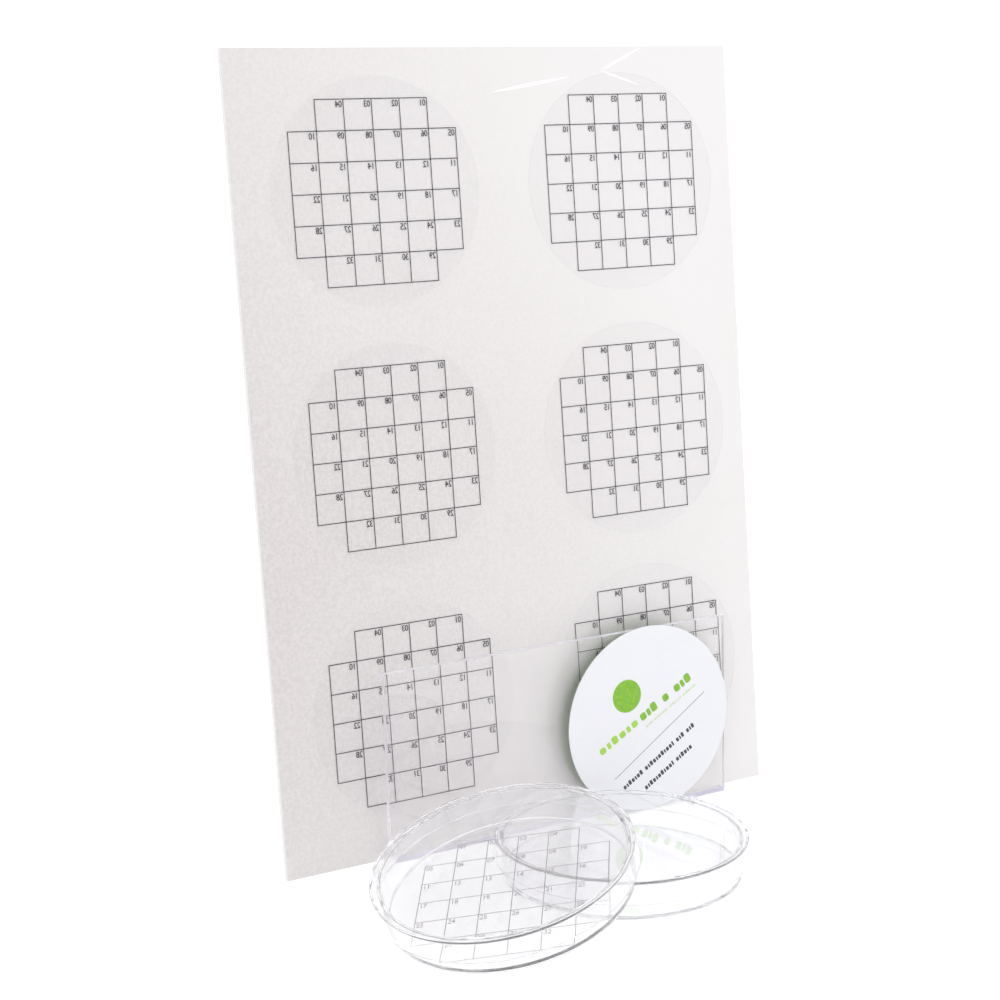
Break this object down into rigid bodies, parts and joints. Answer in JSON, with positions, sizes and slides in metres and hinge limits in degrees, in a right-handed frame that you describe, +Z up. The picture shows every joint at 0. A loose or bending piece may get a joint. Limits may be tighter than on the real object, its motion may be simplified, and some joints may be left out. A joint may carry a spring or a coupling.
{
  "type": "colony-counting grid set",
  "caption": "Leaning sheet of round grid stickers in a clear acrylic pocket stand, with closed Petri dishes and a round card in front.",
  "frame": {"origin": "on the table, on the stand floor plate's underside, at the middle of the stand's width and in line with the board's front lower edge", "axes": "+X along the board's lower edge to the viewer's right, +Y to the back, +Z up"},
  "size_m": [0.21, 0.1952, 0.2977],
  "materials": {
    "acrylic": "clear gloss acrylic",
    "board_paper": "white foam board",
    "liner_paper": "glossy release liner, faint mottle",
    "sticker_film": "clear gloss film with dark printed grid",
    "polystyrene": "clear gloss polystyrene",
    "card_print": "satin printed card"
  },
  "bodies": {
    "stand": {"stand_front_plate": "acrylic", "stand_floor_plate": "acrylic", "stand_back_plate": "acrylic", "stand_left_gusset": "acrylic", "stand_right_gusset": "acrylic"},
    "board": {"backing_board": "board_paper", "release_liner": "liner_paper"},
    "sticker_1": {"grid_sticker_1": "sticker_film"},
    "sticker_2": {"grid_sticker_2": "sticker_film"},
    "sticker_3": {"grid_sticker_3": "sticker_film"},
    "sticker_4": {"grid_sticker_4": "sticker_film"},
    "sticker_5": {"grid_sticker_5": "sticker_film"},
    "sticker_6": {"grid_sticker_6": "sticker_film"},
    "card": {"round_card": "card_print"},
    "rear_base": {"rear_dish_base": "polystyrene"},
    "rear_lid": {"rear_dish_lid": "polystyrene"},
    "front_base": {"front_dish_base": "polystyrene", "dish_sticker": "sticker_film"},
    "front_lid": {"front_dish_lid": "polystyrene"}
  },
  "joints": [
    {"name": "board_lift", "type": "slide", "parent": "stand", "child": "board", "axis": [0, 0.0785, 0.9969], "range_m": [0, 0.08]},
    {"name": "sticker_1_peel", "type": "slide", "parent": "board", "child": "sticker_1", "axis": [0, -0.9969, 0.0785], "range_m": [0, 0.03]},
    {"name": "sticker_2_peel", "type": "slide", "parent": "board", "child": "sticker_2", "axis": [0, -0.9969, 0.0785], "range_m": [0, 0.03]},
    {"name": "sticker_3_peel", "type": "slide", "parent": "board", "child": "sticker_3", "axis": [0, -0.9969, 0.0785], "range_m": [0, 0.03]},
    {"name": "sticker_4_peel", "type": "slide", "parent": "board", "child": "sticker_4", "axis": [0, -0.9969, 0.0785], "range_m": [0, 0.03]},
    {"name": "sticker_5_peel", "type": "slide", "parent": "board", "child": "sticker_5", "axis": [0, 0, 1], "range_m": [0, 0.095]},
    {"name": "sticker_6_peel", "type": "slide", "parent": "board", "child": "sticker_6", "axis": [0, 0, 1], "range_m": [0, 0.095]},
    {"name": "card_lift", "type": "slide", "parent": "stand", "child": "card", "axis": [0, 0, 1], "range_m": [0, 0.08]},
    {"name": "rear_base_lift", "type": "slide", "parent": "stand", "child": "rear_base", "axis": [0, 0, 1], "range_m": [0, 0.04]},
    {"name": "rear_lid_lift", "type": "slide", "parent": "rear_base", "child": "rear_lid", "axis": [0, 0, 1], "range_m": [0, 0.025]},
    {"name": "front_dish_lift", "type": "slide", "parent": "rear_lid", "child": "front_base", "axis": [0, 0, 1], "range_m": [0, 0.06]},
    {"name": "front_lid_lift", "type": "slide", "parent": "front_base", "child": "front_lid", "axis": [-0.2517, -0.0847, 0.9641], "range_m": [0, 0.025]}
  ]
}
